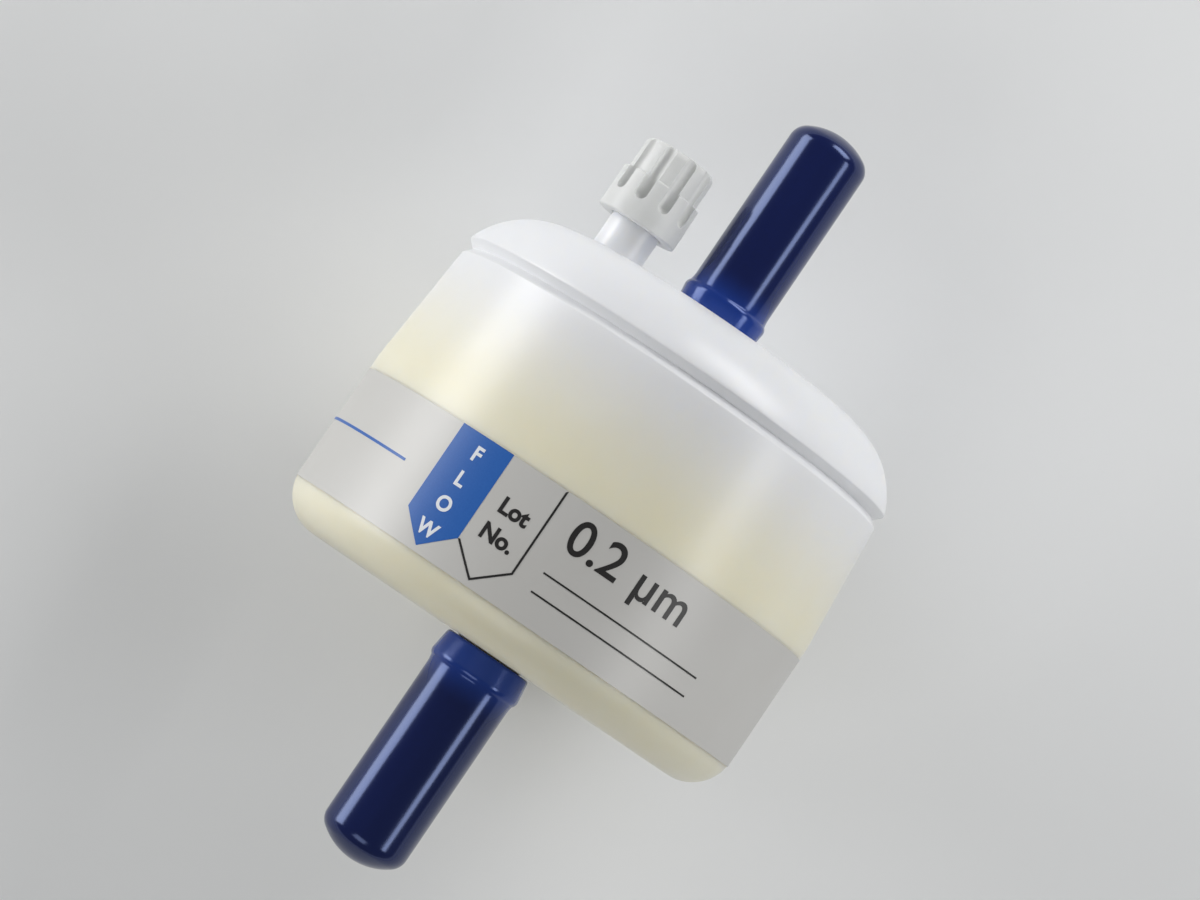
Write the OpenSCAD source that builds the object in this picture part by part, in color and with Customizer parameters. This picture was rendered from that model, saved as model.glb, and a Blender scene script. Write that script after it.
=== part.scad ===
// Capsule filter: a welded plastic capsule with a pleated membrane element inside.
// Each piece is drawn on an upright axis, bowl floor at zero and inlet upwards.
// The finished capsule lies on its side: axis along +X to the inlet, label front up, vent to +Y.

/* [Bowl] */
// Diameter of the bowl's round label band
band_d = 71.7; // [66:0.1:78]
// Height of the label band's upper edge
band_top = 25.6; // [23:0.1:30]
// Radius by which the bowl narrows from its label band to its rim
rim_taper = 1.55; // [0.5:0.05:2.5]
// Height of the bowl's rim, where the head is welded on
rim_z = 44.9; // [38:0.1:52]
// Radius of the bowl's bottom corner
corner_r = 6.3; // [4:0.1:8]
// Wall of the bowl and of the head
wall = 2.2; // [1.6:0.1:3]
// Thickness of the bowl's floor
floor_t = 2.4; // [1.8:0.1:3.5]
// Outer diameter of the ring on the floor that carries the element
boss_d = 21; // [18:0.5:24]
// Height of that ring
boss_h = 3; // [2:0.1:4]

/* [Head] */
// Amount by which the head's lip stands out past the bowl's rim
lip_proud = 0.15; // [0.1:0.05:0.6]
// Height of the lip, from the seam up to the dome's foot
lip_h = 1.4; // [1.2:0.05:2]
// Rise of the dome above the lip
dome_rise = 8; // [6:0.1:12]
// Diameter of the flat crown that the ports stand on
crown_d = 46; // [38:0.2:48]
// Height of the mouth of the open V-shaped groove at the seam
groove_h = 2; // [1:0.1:2.4]
// Depth of that groove below the bowl's rim
groove_depth = 1; // [0.5:0.05:1.2]
// Length of the spigot that enters the bowl
spigot_l = 4; // [2.5:0.1:6]
// Wall of that spigot
spigot_wall = 1.8; // [1.2:0.1:2.5]
// Gap between pieces that are welded together
weld_gap = 0.04; // [0.02:0.01:0.08]

/* [Hose barbs] */
// Largest diameter of the inlet barb
inlet_barb_d = 9.8; // [9:0.1:12]
// Largest diameter of the outlet barb
outlet_barb_d = 10.9; // [9:0.1:12]
// Number of barbs on each port
barb_count = 3; // [2:1:3]
// Distance between the barbs
barb_pitch = 5.6; // [4.8:0.1:6]
// Radius lost from one barb to the next
barb_step = 0.3; // [0.1:0.05:0.35]
// Height of each barb over its root
barb_depth = 0.6; // [0.3:0.05:0.7]
// Straight edge on the top of each barb
barb_land = 0.5; // [0.3:0.05:1]
// Length of the plain shank next to the housing
shank_l = 5; // [4:0.1:6]
// Length of the plain land at the barb's tip
tip_l = 3.2; // [2.5:0.1:4]
// Fillet at the foot of the shank
foot_r = 0.5; // [0.2:0.05:0.6]
// Bore through each port
port_bore_d = 5; // [4:0.1:5.5]

/* [Port caps] */
// Length of the inlet cap
inlet_cap_l = 32.3; // [30.5:0.1:36]
// Length of the outlet cap
outlet_cap_l = 33.8; // [30.5:0.1:36]
// Wall of the dipped vinyl caps
cap_wall = 1; // [0.7:0.05:1.4]
// Gap between a cap and the barb's largest diameter
cap_fit = 0.1; // [0.06:0.01:0.2]
// Gap between a cap's mouth and the housing
cap_seat = 0.2; // [0.1:0.05:0.4]
// Amount by which the collar round the mouth stands out
collar_out = 0.5; // [0.3:0.05:0.9]
// Height of that collar
collar_h = 4.2; // [2.5:0.1:5]
// Rounding of the collar's edge
collar_round = 0.5; // [0.3:0.05:0.9]
// Radius of the sweep from the tube out to the collar
sweep_r = 6; // [3:0.1:9]
// Radius of the shoulder at the closed end
shoulder_r = 2.6; // [1.6:0.1:3.5]
// Radius of the round crown of the closed end
cap_crown_r = 9; // [8:0.1:14]

/* [Vent] */
// Distance of the vent from the capsule's axis
vent_offset = 16.5; // [15:0.1:17.5]
// Diameter of the vent's stem
stem_d = 7.6; // [7:0.1:8.4]
// Length of stem that shows under the vent cap
stem_show = 6; // [4:0.1:7]
// Length of stem inside the vent cap
stem_in = 8; // [7:0.1:8.6]
// Fillet at the stem's foot
stem_foot_r = 1.6; // [0.4:0.05:2]
// Diameter of the seat bore at the stem's top
seat_d = 4.8; // [4.4:0.1:5.2]
// Depth of that seat bore
seat_l = 6; // [5:0.1:7]
// Diameter of the bleed hole below the seat
bleed_d = 2.4; // [1.6:0.1:3]
// Diameter of the vent cap's skirt
skirt_d = 12.3; // [11.8:0.1:13.5]
// Height of that skirt
skirt_h = 6.5; // [5.5:0.1:7.5]
// Diameter of the vent cap above the skirt
knob_d = 11.1; // [10.5:0.1:11.6]
// Height of the whole vent cap
vent_cap_h = 11.7; // [11:0.1:13]
// Rounding of the vent cap's top edge
knob_round = 1.1; // [0.6:0.1:1.6]
// Thickness of the vent cap's top
knob_top = 1.7; // [1.3:0.1:2]
// Number of grip flutes around the vent cap
flute_count = 10; // [6:1:14]
// Width of each flute
flute_w = 1.9; // [1:0.1:2]
// Depth of each flute below the knob's surface
flute_depth = 0.65; // [0.2:0.05:0.7]
// Height of the plain band under the flutes
flute_from = 2.9; // [2:0.1:4]
// Gap between the vent cap and the stem's outside
thread_fit = 0.2; // [0.1:0.05:0.4]
// Section diameter of the vent's sealing ring
seal_section = 1; // [0.8:0.05:1.2]
// Height of the sealing ring below the stem's top
seal_drop = 2; // [1.5:0.1:2.5]
// Gap on each side of the sealing ring
seal_fit = 0.04; // [0.02:0.01:0.08]
// Gap between the vent cap's plug and the seat bore
plug_fit = 0.2; // [0.1:0.05:0.3]
// Length of plug below the sealing ring
plug_nose = 1.2; // [0.8:0.1:1.8]

/* [Filter element] */
// Outer diameter of the slotted core
core_d = 26.4; // [22:0.2:30]
// Wall of the core
core_wall = 1.2; // [0.8:0.1:1.6]
// Number of pleats
pleat_count = 60; // [40:1:64]
// Depth of the pleats
pleat_depth = 12.9; // [10:0.1:14]
// Height of the pleats
pleat_h = 19.2; // [15:0.1:28]
// Thickness of each layer of support fleece
fleece_t = 0.15; // [0.1:0.01:0.18]
// Thickness of the membrane
membrane_t = 0.1; // [0.06:0.01:0.12]
// Gap between the layers
layer_gap = 0.01; // [0.005:0.005:0.02]
// Width of each outer fold
fold_w = 1.25; // [1.2:0.05:1.4]
// Width of the slit in each inner fold
valley_w = 0.3; // [0.2:0.05:0.35]
// Wall of the outer cage
cage_wall = 1; // [0.8:0.1:1.4]
// Columns of windows in the cage
cage_columns = 14; // [8:1:20]
// Columns of windows in the core
core_columns = 8; // [6:1:10]
// Rows of windows in the cage and the core
window_rows = 3; // [2:1:5]
// Width of the bars between the windows
window_bar = 1.6; // [1.2:0.1:2.2]
// Thickness of the end plates
plate_t = 2; // [1.5:0.1:3]
// Wall of the end plates' rims
plate_rim = 1; // [0.8:0.1:1.5]
// Height of those rims
rim_h = 2; // [1:0.1:3]
// Gap between the element's nested pieces
nest_gap = 0.15; // [0.05:0.01:0.3]
// Diameter of the outlet in the lower end plate
plate_bore_d = 10; // [8:0.1:11]
// Wall of the lower end plate's spigot
plate_spigot_wall = 3; // [1.5:0.1:3.2]
// Depth of that spigot in the floor's ring
plate_spigot_l = 2.4; // [1.5:0.1:2.6]

/* [Label] */
// Height of the label's lower edge
label_z = 5.5; // [5:0.1:8]
// Height of the label itself
label_h = 17.7; // [12:0.1:19]
// Thickness of the label
label_t = 0.13; // [0.08:0.01:0.25]
// Gap of adhesive under the label
label_glue = 0.02; // [0.01:0.01:0.05]
// Angle of the strip at the back that the label leaves bare
label_open = 8; // [2:1:40]

/* [Hidden] */
$fn = 96;
// Overlap that joins two solids of one piece, and lets cuts pass right through
bite = 0.2;

band_r = band_d / 2;
rim_r = band_r - rim_taper;
lip_r = rim_r + lip_proud;
crown_r = crown_d / 2;
dome_foot_z = rim_z + lip_h;
crown_z = dome_foot_z + dome_rise;
spigot_r = rim_r - wall - weld_gap;

// The dome's arc leaves the flat crown level and ends on the lip's outer edge
dome_reach = lip_r - crown_r;
dome_r = (dome_reach * dome_reach + dome_rise * dome_rise) / (2 * dome_rise);

barb_l = shank_l + barb_count * barb_pitch + tip_l;
inlet_cap_end = crown_z + cap_seat + inlet_cap_l;
outlet_cap_end = -cap_seat - outlet_cap_l;
axis_mid = (inlet_cap_end + outlet_cap_end) / 2;

stem_r = stem_d / 2;
stem_top = crown_z + stem_show + stem_in;
vent_cap_z = crown_z + stem_show;
vent_cap_top = vent_cap_z + vent_cap_h;
skirt_r = skirt_d / 2;
knob_r = knob_d / 2;
seat_r = seat_d / 2;
seal_z = stem_top - seal_drop;
seal_r = seat_r - seal_fit - seal_section / 2;
plug_r = seat_r - plug_fit;

pack_t = 2 * fleece_t + membrane_t + 2 * layer_gap;
membrane_depth = fleece_t + layer_gap;
downstream_depth = membrane_depth + membrane_t + layer_gap;
core_r = core_d / 2;
core_bore_r = core_r - core_wall;
pleat_in_r = core_r + nest_gap;
pleat_out_r = pleat_in_r + pleat_depth;
cage_bore_r = pleat_out_r + nest_gap;
cage_r = cage_bore_r + cage_wall;
lower_plate_z = floor_t + boss_h;
pleat_z = lower_plate_z + plate_t;
pleat_top = pleat_z + pleat_h;
boss_bore_r = plate_bore_d / 2 + plate_spigot_wall + nest_gap;

label_in_r = band_r + label_glue;
label_r = label_in_r + label_t;
// The capsule lies on the label's two ends, or on the bowl where the bare strip is wide
rest_h = max(band_r, label_r * cos(label_open / 2));

module laid_down() {
    translate([-axis_mid, 0, rest_h])
        rotate([-90, 0, 0])
            rotate([0, 90, 0])
                children();
}

module at_vent() {
    translate([-vent_offset, 0, 0]) children();
}

// Half section of a ring between two radii
module ring_section(r_in, r_out, z, h) {
    translate([r_in, z]) square([r_out - r_in, h]);
}

// Half section of a concave fillet round a shaft that stands on a flat face
module fillet_section(shaft_r, z, r) {
    difference() {
        translate([shaft_r - bite, z - bite]) square([r + bite, r + bite]);
        translate([shaft_r + r, z + r]) circle(r);
    }
}

// Outline of one barbed port, from the housing's face at zero to its tip
function barb_outline(barb_d) = concat(
    [[0, -bite], [barb_d / 2 - barb_depth, -bite], [barb_d / 2 - barb_depth, shank_l]],
    [for (i = [0 : barb_count - 1]) each [
        [barb_d / 2 - i * barb_step, shank_l + i * barb_pitch],
        [barb_d / 2 - i * barb_step, shank_l + i * barb_pitch + barb_land],
        [barb_tip_r(barb_d, i), shank_l + (i + 1) * barb_pitch]
    ]],
    [[barb_tip_r(barb_d, barb_count - 1), barb_l], [0, barb_l]]
);

// Root radius on the outer side of a barb; that of the last one is the tip's land
function barb_tip_r(barb_d, i) = barb_d / 2 - i * barb_step - barb_depth;

module barbed_port(barb_d) {
    rotate_extrude() {
        polygon(barb_outline(barb_d));
        fillet_section(barb_d / 2 - barb_depth, 0, foot_r);
    }
}

// Half section of the bowl, inset by a wall; the inset section runs on past the rim
module bowl_section(inset, floor_z, top_z) {
    round_r = corner_r - inset;
    side_r = band_r - inset;
    top_r = side_r - rim_taper * (top_z - band_top) / (rim_z - band_top);
    translate([0, floor_z]) square([side_r - round_r, band_top - floor_z]);
    translate([0, floor_z + round_r]) square([side_r, band_top - floor_z - round_r]);
    translate([side_r - round_r, floor_z + round_r]) circle(round_r);
    polygon([[0, band_top], [side_r, band_top], [top_r, top_z], [0, top_z]]);
}

// Half section of the open groove round the seam, cut half from the bowl and half from the head
module groove_section() {
    cut = groove_depth + lip_proud + bite;
    half_h = groove_h / 2 * cut / groove_depth;
    translate([rim_r - groove_depth, rim_z]) polygon([[0, 0], [cut, -half_h], [cut, half_h]]);
}

module bowl() {
    color("ivory") laid_down() difference() {
        union() {
            rotate_extrude() {
                difference() {
                    bowl_section(0, 0, rim_z);
                    bowl_section(wall, floor_t, rim_z + bite);
                    groove_section();
                }
                ring_section(boss_bore_r, boss_d / 2, floor_t - bite, boss_h + bite);
            }
            rotate([180, 0, 0]) barbed_port(outlet_barb_d);
        }
        translate([0, 0, -barb_l - bite]) cylinder(d = port_bore_d, h = barb_l + floor_t + 2 * bite);
    }
}

// Half section of the dome and of the lip under it, down to the seam
module dome_section() {
    intersection() {
        translate([crown_r, crown_z - dome_r]) circle(dome_r);
        ring_section(crown_r, lip_r, rim_z, crown_z - rim_z);
    }
    ring_section(0, crown_r, rim_z, crown_z - rim_z);
}

// Half section of the head's hollow; the spigot's bore runs straight up and closes under the dome
module hollow_section() {
    inner_foot_r = crown_r + sqrt(pow(dome_r - wall, 2) - pow(dome_r - dome_rise, 2));
    bore_r = min(spigot_r - spigot_wall, inner_foot_r);
    mouth_z = rim_z - spigot_l - bite;
    difference() {
        ring_section(0, bore_r, mouth_z, crown_z - wall - mouth_z);
        difference() {
            ring_section(crown_r, bore_r + bite, dome_foot_z, dome_rise);
            translate([crown_r, crown_z - dome_r]) circle(dome_r - wall);
        }
    }
}

module head_section() {
    difference() {
        union() {
            dome_section();
            ring_section(0, spigot_r, rim_z - spigot_l, spigot_l + bite);
        }
        groove_section();
        hollow_section();
    }
}

module head() {
    color("ivory") laid_down() difference() {
        union() {
            rotate_extrude() head_section();
            translate([0, 0, crown_z]) barbed_port(inlet_barb_d);
            at_vent() rotate_extrude() {
                ring_section(0, stem_r, crown_z - wall / 2, stem_top - crown_z + wall / 2);
                fillet_section(stem_r, crown_z, stem_foot_r);
            }
        }
        translate([0, 0, crown_z - wall - bite]) cylinder(d = port_bore_d, h = barb_l + wall + 2 * bite);
        at_vent() {
            translate([0, 0, crown_z - wall - bite]) cylinder(d = bleed_d, h = stem_top - crown_z + wall);
            translate([0, 0, stem_top - seat_l]) cylinder(d = seat_d, h = seat_l + bite);
        }
    }
}

// Half section of an end plate, with the rims that hold the pleats' ends
module end_plate_section(bore_r) {
    rim_r_in = core_bore_r - nest_gap - plate_rim;
    rim_r_out = cage_r + nest_gap + plate_rim;
    ring_section(bore_r, rim_r_out, 0, plate_t);
    ring_section(rim_r_in, rim_r_in + plate_rim, plate_t - bite, rim_h + bite);
    ring_section(rim_r_out - plate_rim, rim_r_out, plate_t - bite, rim_h + bite);
}

module lower_end_plate() {
    bore_r = plate_bore_d / 2;
    color("white") laid_down() translate([0, 0, lower_plate_z]) rotate_extrude() {
        end_plate_section(bore_r);
        ring_section(bore_r, bore_r + plate_spigot_wall, -plate_spigot_l, plate_spigot_l + bite);
    }
}

module upper_end_plate() {
    color("white") laid_down() translate([0, 0, pleat_top + plate_t]) mirror([0, 0, 1])
        rotate_extrude() end_plate_section(0);
}

// A tube between the end plates, with rows of windows between their rims
module windowed_tube(r_in, r_out, columns) {
    open_h = pleat_h - 2 * rim_h;
    window_h = (open_h - (window_rows + 1) * window_bar) / window_rows;
    window_w = 2 * r_out * sin(180 / columns) - window_bar;
    cut_from = sqrt(pow(r_in, 2) - pow(window_w / 2, 2)) - bite;
    translate([0, 0, pleat_z]) difference() {
        rotate_extrude() ring_section(r_in, r_out, 0, pleat_h);
        for (row = [0 : window_rows - 1], column = [0 : columns - 1])
            rotate([0, 0, column * 360 / columns])
                translate([cut_from, -window_w / 2, rim_h + window_bar + row * (window_h + window_bar)])
                    cube([r_out - cut_from + bite, window_w, window_h]);
    }
}

module core() {
    color("white") laid_down() windowed_tube(core_bore_r, core_r, core_columns);
}

module cage() {
    color("white") laid_down() windowed_tube(cage_bore_r, cage_r, cage_columns);
}

function polar(r, angle) = [r * cos(angle), r * sin(angle)];

// Folded outline of the pleat pack at a depth below its upstream face
function pleat_outline(depth) =
    let (
        pitch = 360 / pleat_count,
        out_r = pleat_out_r - depth,
        in_r = pleat_in_r + pack_t - depth,
        out_half = asin((fold_w / 2 - depth) / out_r),
        in_half = asin((valley_w / 2 + depth) / in_r)
    )
    [for (i = [0 : pleat_count - 1]) each [
        polar(out_r, i * pitch - out_half),
        polar(out_r, i * pitch + out_half),
        polar(in_r, (i + 0.5) * pitch - in_half),
        polar(in_r, (i + 0.5) * pitch + in_half)
    ]];

// One layer of the pack, from a depth below the upstream face through its own thickness
module pleated_layer(depth, thickness) {
    translate([0, 0, pleat_z]) linear_extrude(pleat_h) difference() {
        polygon(pleat_outline(depth));
        polygon(pleat_outline(depth + thickness));
    }
}

module upstream_fleece() {
    color("whitesmoke") laid_down() pleated_layer(0, fleece_t);
}

module membrane() {
    color("cornsilk") laid_down() pleated_layer(membrane_depth, membrane_t);
}

module downstream_fleece() {
    color("whitesmoke") laid_down() pleated_layer(downstream_depth, fleece_t);
}

module label() {
    color("white") laid_down() rotate([0, 0, 90 + label_open / 2])
        rotate_extrude(angle = 360 - label_open) ring_section(label_in_r, label_r, label_z, label_h);
}

module vent_cap_section() {
    step_r = knob_r - knob_round;
    difference() {
        union() {
            ring_section(0, skirt_r, vent_cap_z, skirt_h);
            ring_section(0, knob_r, vent_cap_z, vent_cap_h - knob_round);
            ring_section(0, step_r, vent_cap_z, vent_cap_h);
            translate([step_r, vent_cap_top - knob_round]) circle(knob_round);
        }
        ring_section(0, stem_r + thread_fit, vent_cap_z - bite, vent_cap_h - knob_top + bite);
    }
}

// The plug under the vent cap's top, with the groove that holds the sealing ring
module plug_section() {
    groove_r = seal_r - seal_section / 2 - seal_fit;
    groove_h = seal_section + 2 * seal_fit;
    nose_z = seal_z - groove_h / 2 - plug_nose;
    difference() {
        ring_section(0, plug_r, nose_z, vent_cap_top - knob_top - nose_z + bite);
        ring_section(groove_r, seat_r, seal_z - groove_h / 2, groove_h);
    }
}

// The round-nosed cut of one grip flute, up from the plain band and out through the top
module flute() {
    nose_z = vent_cap_z + flute_from + flute_w / 2;
    translate([knob_r - flute_depth + flute_w / 2, 0, nose_z]) {
        sphere(d = flute_w);
        cylinder(d = flute_w, h = vent_cap_top - nose_z + bite);
    }
}

module vent_cap() {
    color("white") laid_down() at_vent() {
        difference() {
            rotate_extrude() vent_cap_section();
            for (i = [0 : flute_count - 1]) rotate([0, 0, i * 360 / flute_count]) flute();
        }
        rotate_extrude() plug_section();
    }
}

module vent_seal() {
    color("gainsboro") laid_down() at_vent() translate([0, 0, seal_z])
        rotate_extrude() translate([seal_r, 0]) circle(d = seal_section);
}

// Half section of a round-ended rod, which is the mould that a cap is dipped on, grown by a wall.
// The shoulder's arc rolls inside the crown's larger arc, so the two meet without an edge.
module dipped_form(rod_r, rod_l, grown, from_z) {
    form_r = rod_r + grown;
    round_r = shoulder_r - cap_wall + grown;
    arc_r = cap_crown_r - cap_wall + grown;
    arc_z = rod_l + grown - arc_r;
    round_x = form_r - round_r;
    round_z = arc_z + sqrt(pow(arc_r - round_r, 2) - pow(round_x, 2));
    meet_x = round_x * arc_r / (arc_r - round_r);
    meet_z = arc_z + sqrt(pow(arc_r, 2) - pow(meet_x, 2));
    ring_section(0, form_r, from_z, round_z - from_z);
    translate([round_x, round_z]) circle(round_r);
    intersection() {
        translate([0, arc_z]) circle(arc_r);
        polygon([
            [0, from_z],
            [round_x, from_z],
            [round_x, round_z],
            [meet_x, meet_z],
            [meet_x, arc_z + arc_r],
            [0, arc_z + arc_r]
        ]);
    }
}

// Half section of the collar round a cap's mouth, swept in from its edge to the cap's tube
module collar_section(cap_r) {
    collar_r = cap_r + collar_out;
    sweep_h = sqrt(pow(sweep_r, 2) - pow(sweep_r - collar_out, 2));
    ring_section(0, collar_r - collar_round, 0, collar_h);
    ring_section(0, collar_r, collar_round, collar_h - collar_round);
    translate([collar_r - collar_round, collar_round]) circle(collar_round);
    difference() {
        ring_section(0, collar_r, collar_h - bite, sweep_h + bite);
        translate([cap_r + sweep_r, collar_h + sweep_h]) circle(sweep_r);
    }
}

// Half section of a dipped cap, mouth at zero and closed end up
module dipped_cap_section(barb_d, cap_l) {
    bore_r = barb_d / 2 + cap_fit;
    bore_l = cap_l - cap_wall;
    difference() {
        union() {
            dipped_form(bore_r, bore_l, cap_wall, 0);
            collar_section(bore_r + cap_wall);
        }
        dipped_form(bore_r, bore_l, 0, -bite);
    }
}

module inlet_cap() {
    color("midnightblue") laid_down() translate([0, 0, crown_z + cap_seat])
        rotate_extrude() dipped_cap_section(inlet_barb_d, inlet_cap_l);
}

module outlet_cap() {
    color("midnightblue") laid_down() mirror([0, 0, 1]) translate([0, 0, cap_seat])
        rotate_extrude() dipped_cap_section(outlet_barb_d, outlet_cap_l);
}

bowl();
head();
lower_end_plate();
core();
downstream_fleece();
membrane();
upstream_fleece();
cage();
upper_end_plate();
label();
vent_cap();
vent_seal();
inlet_cap();
outlet_cap();
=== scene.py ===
from math import asin, cos, pi, radians, sin, tan

import bpy
from mathutils import Matrix, Vector


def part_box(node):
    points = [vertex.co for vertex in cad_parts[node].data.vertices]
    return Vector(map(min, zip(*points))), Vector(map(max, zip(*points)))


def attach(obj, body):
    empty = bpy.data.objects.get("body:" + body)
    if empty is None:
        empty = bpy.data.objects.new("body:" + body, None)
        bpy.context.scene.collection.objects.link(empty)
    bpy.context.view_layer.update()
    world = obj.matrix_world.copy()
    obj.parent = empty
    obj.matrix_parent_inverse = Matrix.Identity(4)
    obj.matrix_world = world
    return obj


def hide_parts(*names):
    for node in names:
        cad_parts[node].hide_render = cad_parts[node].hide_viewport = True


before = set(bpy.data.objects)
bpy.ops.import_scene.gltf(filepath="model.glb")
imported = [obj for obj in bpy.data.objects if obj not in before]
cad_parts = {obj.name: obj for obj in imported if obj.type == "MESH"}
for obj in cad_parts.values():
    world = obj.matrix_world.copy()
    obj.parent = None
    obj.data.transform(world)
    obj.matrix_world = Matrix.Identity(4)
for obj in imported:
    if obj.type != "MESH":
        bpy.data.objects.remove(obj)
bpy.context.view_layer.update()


# The bowl: the capsule's lower half, with the outlet's hose barb on its floor.
# Natural polypropylene, injection-moulded in one piece with a 2.2 mm wall.
# The head is welded to its rim, and the label is glued round its widest band.
mm = 0.001
rim_height = 44.9 * mm
band_top = 25.6 * mm
rim_taper = 1.55 * mm
corner_round = 6.3 * mm
wall = 2.2 * mm
floor_thickness = 2.4 * mm
boss_radius = 10.5 * mm
boss_bore = 8.15 * mm
boss_height = 3.0 * mm
groove_height = 2.0 * mm
groove_depth = 1.0 * mm
moulded_edge = 0.3 * mm
merge_distance = 0.001 * mm

bowl_low, bowl_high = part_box("bowl")
weld_x = bowl_high.x
axis_z = (bowl_low.z + bowl_high.z) / 2
band_radius = (bowl_high.y - bowl_low.y) / 2
floor_x = weld_x - rim_height


def arc(centre, radius, start, end, steps, facing=1):
    """Points of an arc in a half section; angles in degrees from the axis, towards the outside."""
    turns = [radians(start + (end - start) * step / steps) for step in range(steps + 1)]
    return [(centre[0] + facing * radius * cos(turn), centre[1] + radius * sin(turn)) for turn in turns]


# Both ports have three barbs that step down towards the tip, and a 5 mm bore.
port_bore = 2.5 * mm
barb_count = 3
barb_pitch = 5.6 * mm
barb_step = 0.3 * mm
barb_height = 0.6 * mm
barb_land = 0.5 * mm
shank = 5.0 * mm
tip_land = 3.2 * mm
foot_round = 0.5 * mm
outlet_barb_radius = 5.45 * mm


def barb_outline(face_x, facing, largest_radius):
    """Half section of a hose barb, from its foot on the housing's face to the bore at its tip."""
    root = largest_radius - barb_height
    outline = arc((face_x + facing * foot_round, root + foot_round), foot_round, 180, 270, 4, facing)
    for count in range(barb_count):
        crest = largest_radius - count * barb_step
        crest_x = face_x + facing * (shank + count * barb_pitch)
        outline += [(crest_x, root), (crest_x, crest), (crest_x + facing * barb_land, crest)]
        root = crest - barb_height
    foot_of_tip = crest_x + facing * barb_pitch
    tip_x = foot_of_tip + facing * tip_land
    return outline + [(foot_of_tip, root), (tip_x, root), (tip_x, port_bore)]


def softened(section, radius, steps=3, gentle=25.0):
    """Round a half section's sharp corners where there is room, but not on the axis or at the weld."""
    points = [Vector(point) for point in section]
    rounded = []
    for before, corner, after in zip(points[-1:] + points[:-1], points, points[1:] + points[:1]):
        back, ahead = before - corner, after - corner
        bend = pi - back.angle(ahead)
        if bend < radians(gentle) or corner.y == 0 or corner.x == weld_x:
            rounded.append(corner)
            continue
        reach = min(radius * tan(bend / 2), back.length / 3, ahead.length / 3)
        start, end = corner + reach * back.normalized(), corner + reach * ahead.normalized()
        for step in range(steps + 1):
            share = step / steps
            rounded.append(start.lerp(corner, share).lerp(corner.lerp(end, share), share))
    return rounded


def turned(name, section, across=0.0, first=0.0, sweep=360.0, sides=192):
    """Draw a half section vertex by vertex and spin it round a line along X."""
    points = [Vector(point) for point in section]
    if points[0].y > 0:
        points.append(points[0])
    side_y, side_z = sin(radians(first)), cos(radians(first))
    start = (points[0].x, across + points[0].y * side_y, axis_z + points[0].y * side_z)
    bpy.ops.object.select_all(action="DESELECT")
    bpy.ops.mesh.primitive_plane_add(size=mm, location=start)
    piece = bpy.context.object
    piece.name = piece.data.name = name
    bpy.ops.object.transform_apply(location=True, rotation=True, scale=True)
    bpy.ops.object.mode_set(mode="EDIT")
    bpy.ops.mesh.select_all(action="SELECT")
    bpy.ops.mesh.merge(type="CENTER")
    for here, there in zip(points, points[1:]):
        along, out = there - here
        bpy.ops.mesh.extrude_region_move(
            TRANSFORM_OT_translate={"value": (along, out * side_y, out * side_z)}
        )
    bpy.ops.mesh.select_all(action="SELECT")
    bpy.ops.mesh.remove_doubles(threshold=merge_distance)
    bpy.ops.mesh.spin(steps=sides, angle=radians(sweep), center=(0, across, axis_z), axis=(1, 0, 0))
    bpy.ops.mesh.select_all(action="SELECT")
    bpy.ops.mesh.remove_doubles(threshold=merge_distance)
    bpy.ops.mesh.fill_holes(sides=0)
    bpy.ops.mesh.normals_make_consistent(inside=False)
    bpy.ops.object.mode_set(mode="OBJECT")
    return piece


def apply_modifier(piece, kind, **settings):
    """Add one modifier to a piece, set it and apply it."""
    modifier = piece.modifiers.new(kind, kind)
    for setting, value in settings.items():
        setattr(modifier, setting, value)
    bpy.ops.object.select_all(action="DESELECT")
    piece.select_set(True)
    bpy.context.view_layer.objects.active = piece
    bpy.ops.object.modifier_apply(modifier=modifier.name)


def smooth_faces(piece, crease=35.0):
    """Shade a piece smooth up to its creases, with large faces kept flat."""
    bpy.ops.object.select_all(action="DESELECT")
    piece.select_set(True)
    bpy.context.view_layer.objects.active = piece
    bpy.ops.object.shade_smooth_by_angle(angle=radians(crease))
    apply_modifier(piece, "WEIGHTED_NORMAL", keep_sharp=True)


inside_x = floor_x + floor_thickness
band_top_x = floor_x + band_top
inner_round = corner_round - wall
rim_radius = band_radius - rim_taper
side_lean = rim_taper / (rim_height - band_top)
groove_lean = groove_depth / (groove_height / 2)
groove_foot = groove_depth / (groove_lean - side_lean)
bowl_section = (
    barb_outline(floor_x, -1, outlet_barb_radius)[::-1]
    + arc((floor_x + corner_round, band_radius - corner_round), corner_round, 180, 90, 14)
    + [(band_top_x, band_radius), (weld_x - groove_foot, rim_radius + side_lean * groove_foot)]
    + [(weld_x, rim_radius - groove_depth), (weld_x, rim_radius - wall)]
    + [(band_top_x, band_radius - wall)]
    + arc((inside_x + inner_round, band_radius - corner_round), inner_round, 90, 180, 10)
    + [(inside_x, boss_radius), (inside_x + boss_height, boss_radius)]
    + [(inside_x + boss_height, boss_bore), (inside_x, boss_bore), (inside_x, port_bore)]
)
bowl = turned("bowl_moulding", softened(bowl_section, moulded_edge))
smooth_faces(bowl)
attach(bowl, "housing")
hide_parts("bowl")


def linear(hex_colour):
    """Linear RGBA of an sRGB colour written as six hex digits."""
    channels = [int(hex_colour[start:start + 2], 16) / 255 for start in (0, 2, 4)]
    return [c / 12.92 if c <= 0.04045 else ((c + 0.055) / 1.055) ** 2.4 for c in channels] + [1.0]


def new_material(name):
    """An empty node material."""
    material = bpy.data.materials.new(name)
    material.use_nodes = True
    material.node_tree.nodes.clear()
    return material


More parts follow.
